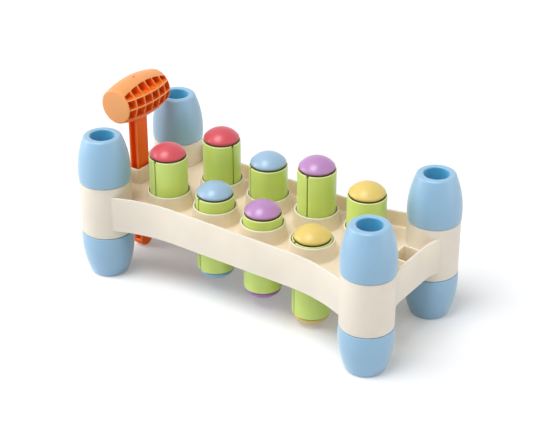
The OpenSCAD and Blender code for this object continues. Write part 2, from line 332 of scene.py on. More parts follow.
def make_floor():
    """A wide pale floor with a little glow for the eye alone, near white round the shadow."""
    mesh = bpy.data.meshes.new("floor")
    half = FLOOR_SIZE / 2
    corners = [(-half, -half, 0), (half, -half, 0), (half, half, 0), (-half, half, 0)]
    mesh.from_pydata(corners, [], [(0, 1, 2, 3)])
    floor = bpy.data.objects.new("floor", mesh)
    bpy.context.scene.collection.objects.link(floor)
    material = bpy.data.materials.new("floor")
    material.use_nodes = True
    tree = material.node_tree
    tree.nodes.clear()
    diffuse = tree.nodes.new("ShaderNodeBsdfDiffuse")
    diffuse.inputs["Color"].default_value = FLOOR_COLOUR
    glow = tree.nodes.new("ShaderNodeEmission")
    lift = tree.nodes.new("ShaderNodeMath")
    lift.operation = "MULTIPLY"
    lift.inputs[1].default_value = FLOOR_LIFT
    tree.links.new(seen_by_eye(tree), lift.inputs[0])
    tree.links.new(lift.outputs[0], glow.inputs["Strength"])
    both = tree.nodes.new("ShaderNodeAddShader")
    tree.links.new(diffuse.outputs[0], both.inputs[0])
    tree.links.new(glow.outputs[0], both.inputs[1])
    output = tree.nodes.new("ShaderNodeOutputMaterial")
    tree.links.new(both.outputs[0], output.inputs["Surface"])
    mesh.materials.append(material)


# Outlines and meshes


def arc(centre, radius, start, end, steps=ARC_STEPS):
    """Points along an arc, angles in degrees, both ends included."""
    points = []
    for i in range(steps + 1):
        angle = math.radians(start + (end - start) * i / steps)
        points.append((centre[0] + radius * math.cos(angle), centre[1] + radius * math.sin(angle)))
    return points


def mirrored(half):
    """A section's upper half followed by its reflection below the axis of r."""
    return half + [(r, -z) for r, z in reversed(half)]


def add_object(name, bm, material, body, replaced=()):
    """A finished piece: smooth with sharp edges kept, riding on its body and standing for its nodes."""
    bmesh.ops.recalc_face_normals(bm, faces=bm.faces)
    mesh = bpy.data.meshes.new(name)
    bm.to_mesh(mesh)
    bm.free()
    return dress(name, mesh, material, body, replaced)


def dress(name, mesh, material, body, replaced):
    """Makes a piece of a mesh, which takes the material only if it has none of its own."""
    mesh.shade_smooth()
    mesh.set_sharp_from_angle(angle=SHARP_ANGLE)
    if not mesh.materials:
        mesh.materials.append(material)
    piece = bpy.data.objects.new(name, mesh)
    bpy.context.scene.collection.objects.link(piece)
    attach(piece, body)
    if replaced:
        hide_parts(*replaced)
    return piece


def turn(bm, section, centre, closed=True, flip=1, steps=TURN_STEPS, slots=None):
    """Turns a section of (r, z) points about the vertical through centre.

    One that isn't closed starts and ends on the axis. slots gives the material slot of each band, by
    number, that doesn't take the first one.
    """
    rings = []
    for r, z in section:
        at = Vector(centre) + Vector((0, 0, flip * z))
        if r < AXIS_R:
            rings.append([bm.verts.new(at)])
            continue
        ring = []
        for i in range(steps):
            angle = 2 * math.pi * i / steps
            ring.append(bm.verts.new(at + Vector((r * math.cos(angle), r * math.sin(angle), 0))))
        rings.append(ring)
    pairs = list(zip(rings, rings[1:]))
    if closed:
        pairs.append((rings[-1], rings[0]))
    for i, (low, high) in enumerate(pairs):
        join_rings(bm, low, high, True, (slots or {}).get(i, 0))
    return rings


def join_rings(bm, low, high, wrap, slots=0):
    """Faces between two rings of points, either of which may be a single point.

    slots is the material slot of all the faces, or a table of it by a face's number.
    """
    count = max(len(low), len(high))
    if count == 1:
        return
    for i in range(count if wrap else count - 1):
        j = (i + 1) % count
        corners = [low[i % len(low)], low[j % len(low)], high[j % len(high)], high[i % len(high)]]
        unique = list(dict.fromkeys(corners))
        bm.faces.new(unique).material_index = slots[i] if isinstance(slots, dict) else slots


def loft(bm, loops, slot=0):
    """A closed solid through loops of equal length, capped at both ends."""
    rings = [[bm.verts.new(p) for p in loop] for loop in loops]
    for low, high in zip(rings, rings[1:]):
        join_rings(bm, low, high, True, slot)
    bm.faces.new(rings[0])
    bm.faces.new(rings[-1])


def rounded_rect(cx, cy, w, d, r, z, steps=ARC_STEPS):
    """A loop of points round a rectangle with rounded corners, at height z."""
    points = []
    for sx, sy, start in ((1, 1, 0), (-1, 1, 90), (-1, -1, 180), (1, -1, 270)):
        corner = (cx + sx * (w / 2 - r), cy + sy * (d / 2 - r))
        points += [Vector((x, y, z)) for x, y in arc(corner, r, start, start + 90, steps)]
    return points


def boolean(target, tool, operation):
    """Applies an exact boolean between two mesh objects and removes the tool."""
    modifier = target.modifiers.new("cut", "BOOLEAN")
    modifier.operation = operation
    modifier.solver = "EXACT"
    modifier.object = tool
    apply_modifiers(target)
    bpy.data.objects.remove(tool)


def apply_modifiers(target):
    """Replaces the object's mesh by what its modifiers make of it."""
    graph = bpy.context.evaluated_depsgraph_get()
    mesh = bpy.data.meshes.new_from_object(target.evaluated_get(graph))
    target.modifiers.clear()
    target.data = mesh


def clean(mesh):
    """Merges the points and dissolves the slivers that a boolean leaves where faces nearly meet."""
    bm = bmesh.new()
    bm.from_mesh(mesh)
    bmesh.ops.remove_doubles(bm, verts=bm.verts, dist=WELD_GAP)
    bmesh.ops.dissolve_degenerate(bm, dist=WELD_GAP, edges=bm.edges)
    bm.to_mesh(mesh)
    bm.free()


def scratch(name, bm):
    """A mesh object that isn't a piece yet."""
    bmesh.ops.recalc_face_normals(bm, faces=bm.faces)
    mesh = bpy.data.meshes.new(name)
    bm.to_mesh(mesh)
    bm.free()
    thing = bpy.data.objects.new(name, mesh)
    bpy.context.scene.collection.objects.link(thing)
    return thing


# Bench frame


def tray_outline():
    """(point, outward normal) pairs round the tray, at the outer face of its walls."""
    half = []
    waist_c = WAIST_Y + WAIST_FLARE_R
    flare = math.acos((waist_c - LEGS["back", "right"].y - CORNER_REACH) / WAIST_FLARE_R)
    for i in range(WAIST_STEPS + 1):
        angle = flare * (1 - i / WAIST_STEPS)
        normal = Vector((math.sin(angle), -math.cos(angle), 0))
        half.append((Vector((-WAIST_HALF, -waist_c, 0)) - normal * WAIST_FLARE_R, normal))
    for i in range(WAIST_STEPS + 1):
        angle = flare * i / WAIST_STEPS
        normal = Vector((-math.sin(angle), -math.cos(angle), 0))
        half.append((Vector((WAIST_HALF, -waist_c, 0)) - normal * WAIST_FLARE_R, normal))
    end_c = END_X + END_FLARE_R
    bend = math.acos((end_c - LEGS["back", "right"].x - CORNER_REACH) / END_FLARE_R)
    for side in (-1, 1):
        for i in range(END_STEPS + 1):
            angle = bend * (i / END_STEPS if side > 0 else 1 - i / END_STEPS)
            normal = Vector((math.cos(angle), -side * math.sin(angle), 0))
            half.append((Vector((end_c, side * END_HALF, 0)) - normal * END_FLARE_R, normal))
    return half + [(-point, -normal) for point, normal in half]


def wall_section():
    """(depth in from the outer face, z) of the wall's upper half, from the deck over the rim down."""
    top = WALL_H / 2
    section = arc((WALL_T + DECK_FILLET, DECK_T / 2 + DECK_FILLET), DECK_FILLET, 270, 180)
    section += arc((WALL_T - RIM_R, top - RIM_R), RIM_R, 0, 90)
    section += arc((RIM_R, top - RIM_R), RIM_R, 90, 180)
    return section


def collar_section():
    """(r, z) of a collar's upper half, from the deck over the rim to the middle of the bore."""
    rim_r = (COLLAR_RIM_R - BORE_RIM_R) / 2
    foot = (COLLAR_BASE_R + COLLAR_FILLET, DECK_T / 2 + COLLAR_FILLET)
    section = arc(foot, COLLAR_FILLET, 270, COLLAR_TAPER)
    section += arc((BORE_RIM_R + rim_r, COLLAR_REACH - rim_r), rim_r, 0, 180, COLLAR_RIM_STEPS)
    section.append((BORE_MID_R, 0))
    return section


def tray_mesh():
    """Walls, deck and collars as one skin."""
    bm = bmesh.new()
    deck_loops = {UP: [], DOWN: []}
    section = mirrored(wall_section())
    columns = []
    for point, normal in tray_outline():
        places = [point - normal * depth + Vector((0, 0, z)) for depth, z in section]
        columns.append([bm.verts.new(place) for place in places])
    # The wall's inner face and deck fillet take the painted warm shade; its rim bands take the painted shade
    # that dims their highlight
    half = [INSIDE_SHADE_SLOT] * (ARC_STEPS + 1) + [RIM_SLOT] * (2 * ARC_STEPS + 1)
    slots = dict(enumerate(half + [OUTSIDE_SLOT] + half[::-1]))
    for a, b in zip(columns, columns[1:] + columns[:1]):
        join_rings(bm, a, b, False, slots)
    deck_loops[UP].append([c[0] for c in columns])
    deck_loops[DOWN].append([c[-1] for c in columns])
    half = collar_section()
    whole = half + [(r, -z) for r, z in reversed(half[:-1])]
    # Collars take the tray's painted warm shade, and their rims a painted highlight
    slots = [INSIDE_SHADE_SLOT] * (ARC_STEPS + 1) + [COLLAR_RIM_HIGHLIGHT_SLOT] * COLLAR_RIM_STEPS + [INSIDE_SHADE_SLOT]
    slots = dict(enumerate(slots + slots[::-1]))
    for at in PEGS.values():
        rings = turn(bm, whole, (at.x, at.y, 0), closed=False, slots=slots)
        deck_loops[UP].append(rings[0])
        deck_loops[DOWN].append(rings[-1])
    for loops in deck_loops.values():
        edges = []
        for loop in loops:
            for a, b in zip(loop, loop[1:] + loop[:1]):
                edges.append(bm.edges.get((a, b)) or bm.edges.new((a, b)))
        filled = bmesh.ops.triangle_fill(bm, use_beauty=True, use_dissolve=False, edges=edges)
        for part in filled["geom"]:
            if isinstance(part, bmesh.types.BMFace):
                # The deck takes the painted warm shade
                part.material_index = INSIDE_SHADE_SLOT
    return bm


def column_section():
    """Half section of a column with its spigots, from the axis round to the axis."""
    top = SEAM_Z
    groove_r, groove_z = COLUMN_R - SEAM_GROOVE_DEPTH, top - SEAM_GROOVE_H
    upper = [(0, top + SPIGOT_H), (SPIGOT_R, top + SPIGOT_H), (SPIGOT_R, top)]
    upper += [(groove_r, top), (groove_r, groove_z)]
    upper += arc((COLUMN_R - SEAM_R, groove_z - SEAM_R), SEAM_R, 90, 0, SEAM_STEPS)
    return mirrored(upper)


def socket_loops(sign):
    """Loops of a socket's block, from its lower rim to its upper one."""
    top = WALL_H / 2 - SOCKET_SINK
    inner = END_X - SOCKET_W
    outer = END_X - RIM_R
    cx = sign * (inner + outer) / 2
    loops = []
    steps = [(SOCKET_RIM_R - x, z) for x, z in arc((0, top - SOCKET_RIM_R), SOCKET_RIM_R, 90, 0)]
    for inset, z in [(i, -z) for i, z in steps] + [(i, z) for i, z in reversed(steps)]:
        w, d = outer - inner - 2 * inset, SOCKET_L - 2 * inset
        loops.append(rounded_rect(cx, 0, w, d, SOCKET_CORNER_R - inset, z))
    return loops


def socket_hole_loops(sign):
    """Loops of the hole through a socket, flared by the rounding of its rims."""
    top = WALL_H / 2
    inner = END_X - SOCKET_W + SOCKET_WALL
    outer = END_X - WALL_T
    cx = sign * (inner + outer) / 2
    loops = []
    mouth = arc((0, 0), SOCKET_RIM_R, 0, SOCKET_MOUTH_ARC)
    flare = [(SOCKET_RIM_R - x, top - SOCKET_RIM_R + z) for x, z in mouth]
    flare.append((flare[-1][0], top + MM))
    for grow, z in [(g, -z) for g, z in reversed(flare)] + flare:
        w, d = outer - inner + 2 * grow, SOCKET_L - 2 * SOCKET_WALL + 2 * grow
        loops.append(rounded_rect(cx, 0, w, d, SOCKET_HOLE_CORNER_R + grow, z))
    return loops


def make_bench_frame(materials):
    """Tray, columns and sockets joined into one moulding, with the columns and sockets bored out."""
    body = scratch("bench_frame_skin", tray_mesh())
    for material in materials:
        body.data.materials.append(material)
    added = bmesh.new()
    for at in LEGS.values():
        turn(added, column_section(), (at.x, at.y, 0), closed=False)
    for sign in (-1, 1):
        # The sockets and their holes take the tray's painted warm shade
        loft(added, socket_loops(sign), INSIDE_SHADE_SLOT)
    boolean(body, scratch("added", added), "UNION")
    removed = bmesh.new()
    bore_top = SEAM_Z + SPIGOT_H + MM
    for at in LEGS.values():
        for flip in (UP, DOWN):
            wall = [(COLUMN_BORE_R, DECK_T / 2), (COLUMN_BORE_R, bore_top)]
            bore = [(0, DECK_T / 2), *wall, (0, bore_top)]
            turn(removed, bore, (at.x, at.y, 0), closed=False, flip=flip)
    for sign in (-1, 1):
        loft(removed, socket_hole_loops(sign), INSIDE_SHADE_SLOT)
    boolean(body, scratch("removed", removed), "DIFFERENCE")
    mesh = body.data
    bpy.data.objects.remove(body)
    clean(mesh)
    for vertex in mesh.vertices:
        vertex.co.z += MID_Z
    dress("bench_frame_moulding", mesh, None, "bench", ["bench_frame"])


# Leg cups


def cup_section():
    """Half section of a cup above the leg's middle, from the hole's floor round to the hollow inside."""
    centre = (CUP_R - BELLY_ARC_R, BELLY_Z)
    fillet_z = LEG_TOP - CUP_RIM_R
    fillet_x = centre[0] + math.sqrt((BELLY_ARC_R - CUP_RIM_R) ** 2 - (fillet_z - BELLY_Z) ** 2)
    tangent = math.degrees(math.asin((fillet_z - BELLY_Z) / (BELLY_ARC_R - CUP_RIM_R)))
    foot = math.degrees(math.asin((SEAM_Z + SEAM_R - BELLY_Z) / BELLY_ARC_R))
    inner_r = BELLY_ARC_R - CUP_WALL
    mouth = math.degrees(math.asin((SEAM_Z - BELLY_Z) / inner_r))
    cap_z = LEG_TOP - CUP_CAP_T
    shoulder = math.degrees(math.asin((cap_z - BELLY_Z) / inner_r))
    tube_r = CUP_HOLE_R + CUP_WALL
    floor_z = LEG_TOP - CUP_HOLE_DEPTH
    seam_x = centre[0] + math.sqrt(BELLY_ARC_R**2 - (SEAM_Z - BELLY_Z) ** 2)
    section = [(0, floor_z)]
    section += arc((CUP_HOLE_R - HOLE_MOUTH_R, floor_z + HOLE_MOUTH_R), HOLE_MOUTH_R, 270, 360)
    section += arc((CUP_HOLE_R + HOLE_MOUTH_R, LEG_TOP - HOLE_MOUTH_R), HOLE_MOUTH_R, 180, 90)
    section += arc((fillet_x, fillet_z), CUP_RIM_R, 90, tangent, CUP_RIM_STEPS)
    section += arc(centre, BELLY_ARC_R, tangent, foot, BELLY_STEPS)[1:]
    section += arc((seam_x - SEAM_R, SEAM_Z + SEAM_R), SEAM_R, 0, -90, SEAM_STEPS)
    section += arc(centre, inner_r, mouth, shoulder, HOLLOW_STEPS)
    section += [(tube_r, cap_z), (tube_r, floor_z - CUP_WALL), (0, floor_z - CUP_WALL)]
    return section


def make_cups(material):
    for (row, side), at in LEGS.items():
        for level, flip in (("upper", UP), ("lower", DOWN)):
            bm = bmesh.new()
            turn(bm, cup_section(), (at.x, at.y, MID_Z), closed=False, flip=flip)
            name, node = f"{level}_cup_{row}_{side}", cup_node(level, row, side)
            add_object(name, bm, material, "bench", [node])


# Pegs


def dome_ball():
    """Radius and centre height of the ball that a dome's top is cut from."""
    neck = DOME_R - DOME_EDGE_R
    rise = DOME_H - DOME_EDGE_R
    radius = (neck**2 + rise**2 - DOME_EDGE_R**2) / (2 * (rise - DOME_EDGE_R))
    return radius, SLEEVE_LEN / 2 + DOME_LIFT + DOME_H - radius


def dome_section():
    """Half section of a dome over its flange, from the top of the dome down to the flange's underside."""
    half = SLEEVE_LEN / 2
    radius, ball_z = dome_ball()
    neck = DOME_R - DOME_EDGE_R
    edge_z = half + DOME_LIFT + DOME_EDGE_R
    flange_z = half - SEAT_DEPTH + CAP_FLANGE_T
    edge = math.degrees(math.atan2(edge_z - ball_z, neck))
    section = arc((0, ball_z), radius, 90, edge, DOME_BALL_STEPS)
    section += arc((neck, edge_z), DOME_EDGE_R, edge, -90, DOME_EDGE_STEPS)[1:]
    section += [(CAP_NECK_R, half + DOME_LIFT), (CAP_NECK_R, flange_z)]
    return section + [(FLANGE_R, flange_z), (FLANGE_R, half - SEAT_DEPTH)]


def dome_hollow(bore_r):
    """The inside of a dome over a bore, from the bore's wall up to the axis."""
    radius, ball_z = dome_ball()
    inner_r = radius - DOME_WALL
    start = math.degrees(math.acos(bore_r / inner_r))
    return arc((0, ball_z), inner_r, start, 90, HOLLOW_STEPS)


def make_dome_piece(name, at, flip, inner, outer, low, material, neck_shade_material, body, node):
    """A domed cap on a tube between the radii inner and outer that reaches down to low."""
    seat = SLEEVE_LEN / 2 - SEAT_DEPTH
    section = dome_section() + [(outer, seat), (outer, low), (inner, low)] + dome_hollow(inner)
    bm = bmesh.new()
    # The neck, flange and tube take a dark painted shade that stands for the shadow in the gap under the dome
    slots = {i: NECK_SHADE_SLOT for i in range(DOME_FACE_BANDS, len(section))}
    turn(bm, section, at, closed=False, flip=flip, slots=slots)
    add_object(name, bm, material, body, [node]).data.materials.append(neck_shade_material)


def sleeve_section():
    """Closed half section of a sleeve as (r, z, width of the slit there), seats and notches included."""
    half = SLEEVE_LEN / 2
    bore = SLEEVE_R - SLEEVE_WALL
    notch_foot = half - NOTCH_DEPTH
    narrow_z, wide_z = notch_foot - NOTCH_EASE, notch_foot + NOTCH_EASE
    edge = (SLEEVE_R - SLEEVE_EDGE_R, half - SLEEVE_EDGE_R)
    upper = [(bore, half - SEAT_DEPTH, SLIT_W), (SEAT_R, half - SEAT_DEPTH, SLIT_W)]
    upper += [(SEAT_R, narrow_z, SLIT_W), (SEAT_R, wide_z, NOTCH_W), (SEAT_R, half, NOTCH_W)]
    upper += [(r, z, NOTCH_W) for r, z in arc(edge, SLEEVE_EDGE_R, 90, 0, SLEEVE_EDGE_STEPS)]
    upper += [(SLEEVE_R, wide_z, NOTCH_W), (SLEEVE_R, narrow_z, SLIT_W)]
    return upper + [(r, -z, width) for r, z, width in reversed(upper)]


def slit_ring(r, width):
    """(angle, radius) pairs round a sleeve from one lip of its slit to the other, the outer lips rounded."""
    gap = math.asin(width / 2 / r)
    lip = SLIT_LIP_R / r
    outside = r > SEAT_R
    ring = []
    for share in LIP_SHARES:
        drop = SLIT_LIP_R * (1 - math.sqrt(1 - (1 - share) ** 2)) if outside else 0
        ring.append((gap + lip * share, r - drop))
    wall = 2 * (math.pi - gap - lip)
    middle_run = [(gap + lip + wall * i / TURN_STEPS, r) for i in range(1, TURN_STEPS)]
    return ring + middle_run + [(2 * math.pi - angle, radius) for angle, radius in reversed(ring)]


def make_sleeve(name, at, angle, material, rim_highlight_material, body, node):
    """A tube split from end to end, with a wider notch where the slit meets each rim."""
    bm = bmesh.new()
    rings = []
    for r, z, width in sleeve_section():
        ring = []
        for turned, radius in slit_ring(r, width):
            turned += math.radians(angle)
            out = Vector((radius * math.cos(turned), radius * math.sin(turned), z))
            ring.append(bm.verts.new(out + at))
        rings.append(ring)
    rim = SLEEVE_LEN / 2 - SLEEVE_EDGE_R
    for a, b in zip(rings, rings[1:] + rings[:1]):
        # Faces at the rims take the painted rim highlight
        at_rim = min(abs(a[0].co.z - at.z), abs(b[0].co.z - at.z)) > rim - NOTCH_EASE
        join_rings(bm, a, b, False, RIM_SLOT if at_rim else 0)
    lips = [bm.faces.new([ring[i] for ring in rings]) for i in (0, -1)]
    bmesh.ops.triangulate(bm, faces=lips)
    add_object(name, bm, material, body, [node]).data.materials.append(rim_highlight_material)


def make_pegs(dome_materials, sleeve_material, rim_highlight_material, neck_shade_material):
    """Each peg: an upper dome on its spindle, a lower dome on its plug, and the split sleeve between them."""
    seat = SLEEVE_LEN / 2 - SEAT_DEPTH
    for (row, colour), at in PEGS.items():
        body = peg_body(row, colour)
        # The lower domes take darker copies of their plastic: painted shade
        material, lower_shade_material = dome_materials[colour], dome_materials[f"lower_{colour}"]
        make_dome_piece(f"{row}_{colour}_spindle", at, UP, SPINDLE_BORE_R, SPINDLE_R, -seat,
                        material, neck_shade_material, body, body + "_core")
        make_dome_piece(f"{row}_{colour}_lower_dome", at, DOWN, PLUG_BORE_R, PLUG_R, seat - PLUG_LEN,
                        lower_shade_material, neck_shade_material, body, body + "_cap")
        make_sleeve(f"{row}_{colour}_sleeve", at, SLIT_ANGLES[row][colour],
                    sleeve_material, rim_highlight_material, body, body + "_sleeve")


# Hammer


def head_arc_r():
    """Radius of the arc that the barrel's side bulges along."""
    sag = HEAD_R - HEAD_END_R
    return ((HEAD_LEN / 2) ** 2 + sag**2) / (2 * sag)


def barrel_section():
    """Half section of the head's barrel as (r, distance along it), from axis to axis."""
    radius = head_arc_r()
    edge_y = HEAD_LEN / 2 - HEAD_EDGE_R
    edge_x = HEAD_R - radius + math.sqrt((radius - HEAD_EDGE_R) ** 2 - edge_y**2)
    tangent = math.degrees(math.asin(edge_y / (radius - HEAD_EDGE_R)))
    half = [(0, HEAD_LEN / 2)]
    half += arc((edge_x, edge_y), HEAD_EDGE_R, 90, tangent, HEAD_EDGE_STEPS)
    half += arc((HEAD_R - radius, 0), radius, tangent, 0, BARREL_STEPS)[1:-1]
    return half + [(HEAD_R, 0)] + [(r, -z) for r, z in reversed(half)]


def barrel_r(y):
    """The barrel's radius at a place along it."""
    return HEAD_R - head_arc_r() + math.sqrt(head_arc_r() ** 2 - y**2)


def pocket_rows():
    """Lower and upper limit of each row of pockets, upwards. The top row's upper limit follows the barrel."""
    half = RIB_T / 2
    return [(-POCKET_DROP, -half), (half, RIB_RISE - half), (RIB_RISE + half, HEAD_R)]


def pocket_reach(y):
    """How far up from the head's axis the pockets go at a place along it."""
    return POCKET_TOP - POCKET_ARC_R + math.sqrt(POCKET_ARC_R**2 - y**2)


def along(y0, y1, steps):
    """Evenly spaced places from y0 to y1."""
    return [y0 + (y1 - y0) * i / steps for i in range(steps + 1)]


def pocket_cells():
    """Each pocket of one side: its outline in (y, z) from the head's middle, and if the boss is behind."""
    end = HEAD_LEN / 2 - HEAD_END_WALL
    ribs = [RIB_PITCH * i for i in range(-2, 3)]
    starts = [-end] + [y + RIB_T / 2 for y in ribs]
    stops = [y - RIB_T / 2 for y in ribs] + [end]
    cells = []
    for y0, y1 in zip(starts, stops):
        for z0, z1 in pocket_rows():
            roof = [(y, min(z1, pocket_reach(y))) for y in reversed(along(y0, y1, POCKET_STEPS))]
            outline = [(y0, z0), (y1, z0)] + roof
            boss = max(abs(y0), abs(y1)) < RIB_PITCH and z0 < RIB_RISE
            cells.append((outline, boss))
    return cells


def rib_trims(sign):
    """Loops of solids that cut the upright ribs' outer edges straight between the lengthwise ribs."""
    end = HEAD_LEN / 2 - HEAD_END_WALL
    for z0, z1 in pocket_rows():
        loops = []
        for y in along(-end, end, TRIM_STEPS):
            low, high = z0, min(z1, pocket_reach(y))
            outline = [(math.sqrt(barrel_r(y) ** 2 - z**2), z) for z in (low, high)]
            outline += [(HEAD_R + MM, high), (HEAD_R + MM, low)]
            loops.append([Vector((sign * x, y, z)) for x, z in outline])
        yield loops


def hammer_head_solid():
    """The barrel round its own middle, cored from both sides, with the handle's socket and the gate mark."""
    bm = bmesh.new()
    turn(bm, barrel_section(), (0, 0, 0), closed=False)
    for vertex in bm.verts:
        vertex.co = Vector((vertex.co.x, -vertex.co.z, vertex.co.y))
    head = scratch("hammer_head_skin", bm)
    trims, pockets = bmesh.new(), bmesh.new()
    boss_r = HANDLE_W / 2 + FIT_GAP + BOSS_WALL
    for sign in (-1, 1):
        for loops in rib_trims(sign):
            loft(trims, loops)
        for outline, boss in pocket_cells():
            floor = boss_r if boss else HEAD_WEB_HALF
            ends = (floor, HEAD_R + MM)
            loft(pockets, [[Vector((sign * x, y, z)) for y, z in outline] for x in ends])
    boolean(head, scratch("trims", trims), "DIFFERENCE")
    boolean(head, scratch("pockets", pockets), "DIFFERENCE")
    cuts = bmesh.new()
    socket_top = RIB_RISE - RIB_T / 2
    w, d = HANDLE_W + 2 * FIT_GAP, HANDLE_D + 2 * FIT_GAP
    ends = (-HEAD_R - MM, socket_top)
    loft(cuts, [rounded_rect(0, 0, w, d, TENON_CORNER_R, z, SMALL_CORNER_STEPS) for z in ends])
    mark = [(0, -GATE_MARK_DEPTH), (GATE_MARK_R, -GATE_MARK_DEPTH), (GATE_MARK_R, MM), (0, MM)]
    turn(cuts, mark, (0, GATE_MARK_Y, HEAD_R), closed=False, steps=MARK_STEPS)
    boolean(head, scratch("cuts", cuts), "DIFFERENCE")
    return head


def make_hammer_head(material):
    """The head with its edges softened by a fine remesh, set in place under the top of its box."""
    head = hammer_head_solid()
    remesh = head.modifiers.new("remesh", "REMESH")
    remesh.mode = "VOXEL"
    remesh.voxel_size = HEAD_VOXEL
    smooth = head.modifiers.new("smooth", "SMOOTH")
    smooth.factor = HEAD_SMOOTH
    smooth.iterations = HEAD_SMOOTH_TURNS
    apply_modifiers(head)
    mesh = head.data
    bpy.data.objects.remove(head)
    head_z = middle("hammer_head").z
    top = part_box("hammer_head")[1].z
    for vertex in mesh.vertices:
        vertex.co += Vector((HAMMER.x, 0, head_z))
        vertex.co.z = min(vertex.co.z, top)
    dress("hammer_barrel", mesh, material, "hammer", ["hammer_head"])


def make_hammer_handle(material, edge_highlight_material):
    """An I section bar with channels front and back, a round tip and rounded edges."""
    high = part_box("hammer_handle")[1]
    bm = bmesh.new()
    outline = arc((0, TIP_R), TIP_R, 270 - TIP_SPREAD, 270 + TIP_SPREAD, TIP_STEPS)
    outline += [(HANDLE_D / 2, high.z), (-HANDLE_D / 2, high.z)]
    loft(bm, [[Vector((x, y, z)) for y, z in outline] for x in (-HANDLE_W / 2, HANDLE_W / 2)])
    handle = scratch("handle", bm)
    cuts = bmesh.new()
    channel_w = HANDLE_W - 2 * FLANGE_T
    channel_depth = (HANDLE_D - HANDLE_WEB) / 2
    for sign in (-1, 1):
        cy = sign * (HANDLE_D / 2 + HANDLE_WEB / 2 + MM) / 2
        size = (channel_w, channel_depth + MM, CHANNEL_CORNER_R)
        ends = (CHANNEL_END, high.z - CHANNEL_END)
        loft(cuts, [rounded_rect(0, cy, *size, z, SMALL_CORNER_STEPS) for z in ends])
    boolean(handle, scratch("channels", cuts), "DIFFERENCE")
    handle.data.materials.append(material)
    handle.data.materials.append(edge_highlight_material)
    # The bevelled edges take a paler orange: a painted highlight along them
    bevel = handle.modifiers.new("edges", "BEVEL")
    bevel.material = 1
    bevel.width = HANDLE_EDGE_R
    bevel.segments = HANDLE_EDGE_STEPS
    bevel.limit_method = "ANGLE"
    bevel.angle_limit = HANDLE_EDGE_ANGLE
    apply_modifiers(handle)
    mesh = handle.data
    bpy.data.objects.remove(handle)
    clean(mesh)
    for vertex in mesh.vertices:
        vertex.co += Vector((HAMMER.x, 0, 0))
    dress("hammer_bar", mesh, material, "hammer", ["hammer_handle"])


# Materials

CLOUD_SCALE = 28
CLOUD_DETAIL = 3
CLOUD_SPAN = (0.3, 0.7)
CLOUD_SHADES = (0.95, 1.03)
GRAIN_SCALE = 900
GRAIN_DETAIL = 4
GRAIN_DEPTH = 0.2 * MM
ROUGHNESS_SPREAD = (-0.02, 0.03)
IOR = 1.5
SHEEN_ROUGHNESS = 0.4
EDGE_HIGHLIGHT_POINTINESS = (0.505, 0.535)

# Colour, roughness, strength of the grain, and what else is told apart from the usual plastic
CREAMY = {"glow": 0.5, "reach": 5 * MM, "sheen": 0}
DOMED = {"glow": 0.03, "gloss": 0.5}
# Options of the lower domes' darker copies, which are painted shade
SHADED = {"glow": 0.03, "sheen": 0}
PLASTICS = {
    "cream": ((0.795, 0.725, 0.62), 0.40, 0.15, CREAMY),
    # Painted shade: a darker copy of the cream that dims the wall rims' highlight
    "cream_rim_painted_shade": ((0.72, 0.665, 0.58), 0.44, 0.1, CREAMY),
    # Painted highlight: a brighter, warmer copy of the cream for the light line on the collar rims
    "collar_rim_painted_highlight": ((0.84, 0.755, 0.60), 0.44, 0.1, CREAMY),
    # Painted warm shade: a warmer copy of the cream for the deck, collars, sockets and the walls' inner
    # faces, standing for the warm light in the shaded tray
    "cream_inside_painted_shade": ((0.83, 0.71, 0.53), 0.42, 0.15, CREAMY),
    "sky": ((0.25, 0.46, 0.65), 0.42, 0.03, {"sheen": 0.55, "gloss": 1}),
    # Painted shade: a dark plastic on the domes' necks and flanges, where there is only the gap's shadow
    "neck": ((0.30, 0.23, 0.12), 0.5, 0.06, {"glow": 0, "sheen": 0, "gloss": 0.3}),
    "lime": ((0.60, 0.765, 0.165), 0.30, 0.04, {"sheen": 0.3, "gloss": 0.6}),
    # Painted highlight: a whiter copy of the lime for the sleeves' rounded rims
    "lime_rim_painted_highlight": ((0.72, 0.82, 0.33), 0.28, 0.04, {}),
    "red": ((0.63, 0.07, 0.095), 0.32, 0.06, {**DOMED, "sheen": 0.35}),
    "blue": ((0.31, 0.47, 0.63), 0.30, 0.06, {**DOMED, "sheen": 0.15}),
    "purple": ((0.46, 0.225, 0.48), 0.30, 0.06, {**DOMED, "sheen": 0.2, "gloss": 0.6}),
    "yellow": ((0.75, 0.56, 0.15), 0.34, 0.06, {**DOMED, "sheen": 0.15, "gloss": 0.4}),
    # Painted shade: darker copies of the dome plastics for the lower domes, whose undersides lie in shadow
    "lower_red": ((0.59, 0.06, 0.085), 0.34, 0.06, SHADED),
    "lower_blue": ((0.20, 0.40, 0.59), 0.34, 0.06, SHADED),
    "lower_purple": ((0.33, 0.13, 0.41), 0.34, 0.06, SHADED),
    "lower_yellow": ((0.68, 0.48, 0.09), 0.34, 0.06, SHADED),
    # The head's orange, given painted light on its top, ends and edges and painted shade along its underside
    # further down
    "orange": ((0.98, 0.19, 0.01), 0.38, 0.10, {"glow": 0.5, "reach": 6 * MM, "gloss": 0.5}),
    # Painted shade: the head's orange a shade deeper for the handle, which lies in the head's shadow
    "orange_painted_shade": ((0.99, 0.145, 0.001), 0.34, 0.06, {"glow": 0.05, "sheen": 0, "gloss": 0.2}),
    # Painted highlight: a paler orange for the handle's bevelled edges
    "orange_edge_painted_highlight": ((0.98, 0.36, 0.12), 0.34, 0.06, {"glow": 0.1, "sheen": 0, "gloss": 0.5}),
}
# Painted highlight on the hammer head's edges
RIB_EDGE_HIGHLIGHT_COLOUR = (0.98, 0.27, 0.04)
# Painted light on the barrel's top and ends, painted shade along its underside
BARREL_PAINTED_LIGHT_COLOUR = (0.88, 0.35, 0.11)
BARREL_PAINTED_SHADE_COLOUR = (0.97, 0.17, 0.02)
# Painted shade inside the cups' holes
CUP_HOLE_SHADE_COLOUR = (0.09, 0.43, 0.67)


